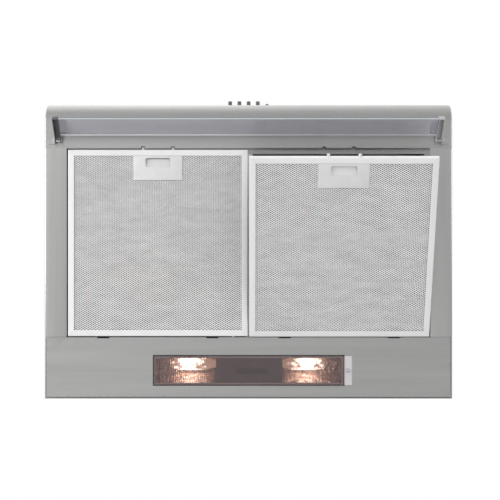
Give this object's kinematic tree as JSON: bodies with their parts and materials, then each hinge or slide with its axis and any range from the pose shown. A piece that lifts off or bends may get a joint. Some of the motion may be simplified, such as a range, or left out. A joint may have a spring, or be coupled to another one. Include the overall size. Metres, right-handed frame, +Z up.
{
  "type": "under cabinet range hood",
  "caption": "Shallow brushed-steel range hood with two drop-down grease filters, a tilting glass visor, push buttons, a lamp panel and a top duct collar with backdraft flaps.",
  "frame": {"origin": "centre of the flat top face that is screwed to the cabinet", "axes": "+X to the user's right, +Y to the wall, +Z up"},
  "size_m": [0.598, 0.444, 0.285],
  "materials": {
    "steel": "brushed stainless sheet",
    "plated": "zinc plated steel",
    "aluminium": "satin",
    "filter_mesh": "expanded mesh",
    "visor_glass": "tinted, polished edges",
    "lens": "smoked, ribbed",
    "bulb": "warm white",
    "enamel": "white enamel",
    "dark_plastic": "moulded",
    "grey_plastic": "moulded",
    "pilot": "translucent",
    "ceramic": "glazed ceramic"
  },
  "bodies": {
    "hood": {"top_panel": "steel", "back_panel": "steel", "left_side_panel": "steel", "right_side_panel": "steel", "front_fascia": "steel", "underside_frame": "steel", "rear_lamp_panel": "steel", "centre_rail": "steel", "left_visor_bracket": "steel", "right_visor_bracket": "steel", "motor_mount": "steel", "blower_bracket": "steel", "left_visor_pivot": "plated", "right_visor_pivot": "plated", "lens_screw": "plated", "scroll_wrap": "plated", "inlet_cheek": "plated", "motor_cheek": "plated", "motor": "plated", "duct_collar": "plated", "damper_pin": "plated", "lamp_lens": "lens", "left_bulb": "bulb", "right_bulb": "bulb", "lamp_tray": "enamel", "run_capacitor": "enamel", "switch_box": "dark_plastic", "cable_gland": "dark_plastic", "terminal_box": "grey_plastic", "pilot_lamp": "pilot", "left_lamp_holder": "ceramic", "right_lamp_holder": "ceramic"},
    "left_filter": {"left_filter_frame": "aluminium", "left_filter_mesh": "filter_mesh", "left_latch_housing": "aluminium", "left_latch_spring": "steel"},
    "right_filter": {"right_filter_frame": "aluminium", "right_filter_mesh": "filter_mesh", "right_latch_housing": "aluminium", "right_latch_spring": "steel"},
    "left_latch": {"left_latch_slider": "plated"},
    "right_latch": {"right_latch_slider": "plated"},
    "visor": {"visor_glass": "visor_glass", "left_visor_arm": "plated", "right_visor_arm": "plated"},
    "light_button": {"light_button": "dark_plastic"},
    "speed_1_button": {"speed_1_button": "dark_plastic"},
    "speed_2_button": {"speed_2_button": "dark_plastic"},
    "speed_3_button": {"speed_3_button": "dark_plastic"},
    "rotor": {"impeller": "dark_plastic", "motor_shaft": "steel"},
    "left_flap": {"left_damper_flap": "grey_plastic"},
    "right_flap": {"right_damper_flap": "grey_plastic"}
  },
  "joints": [
    {"name": "left_filter_hinge", "type": "hinge", "parent": "hood", "child": "left_filter", "pos_m": [-0.133, 0.1295, -0.138], "axis": [1, 0, 0], "range_deg": [0, 45]},
    {"name": "right_filter_hinge", "type": "hinge", "parent": "hood", "child": "right_filter", "pos_m": [0.133, 0.1295, -0.138], "axis": [1, 0, 0], "range_deg": [-21.2, 23.8]},
    {"name": "left_latch_slide", "type": "slide", "parent": "left_filter", "child": "left_latch", "axis": [0, 1, 0], "range_m": [0, 0.005], "stiffness_N_per_m": 300, "springref_m": -0.005, "deforming": ["left_latch_spring"]},
    {"name": "right_latch_slide", "type": "slide", "parent": "right_filter", "child": "right_latch", "axis": [0, 0.9323, 0.3616], "range_m": [0, 0.005], "stiffness_N_per_m": 300, "springref_m": -0.005, "deforming": ["right_latch_spring"]},
    {"name": "visor_hinge", "type": "hinge", "parent": "hood", "child": "visor", "pos_m": [0, -0.1598, -0.1465], "axis": [-1, 0, 0], "range_deg": [0, 46]},
    {"name": "light_button_push", "type": "slide", "parent": "hood", "child": "light_button", "axis": [0, 1, 0], "range_m": [0, 0.004], "stiffness_N_per_m": 250, "springref_m": -0.004},
    {"name": "speed_1_button_push", "type": "slide", "parent": "hood", "child": "speed_1_button", "axis": [0, 1, 0], "range_m": [0, 0.004], "stiffness_N_per_m": 250, "springref_m": -0.004},
    {"name": "speed_2_button_push", "type": "slide", "parent": "hood", "child": "speed_2_button", "axis": [0, 1, 0], "range_m": [0, 0.004], "stiffness_N_per_m": 250, "springref_m": -0.004},
    {"name": "speed_3_button_push", "type": "slide", "parent": "hood", "child": "speed_3_button", "axis": [0, 1, 0], "range_m": [0, 0.004], "stiffness_N_per_m": 250, "springref_m": -0.004},
    {"name": "rotor_spin", "type": "hinge", "parent": "hood", "child": "rotor", "pos_m": [0, 0.008, -0.064], "axis": [1, 0, 0], "continuous": true},
    {"name": "left_flap_hinge", "type": "hinge", "parent": "hood", "child": "left_flap", "pos_m": [0, 0.085, 0.008], "axis": [0, 1, 0], "range_deg": [0, 75]},
    {"name": "right_flap_hinge", "type": "hinge", "parent": "hood", "child": "right_flap", "pos_m": [0, 0.085, 0.008], "axis": [0, -1, 0], "range_deg": [0, 75]}
  ]
}
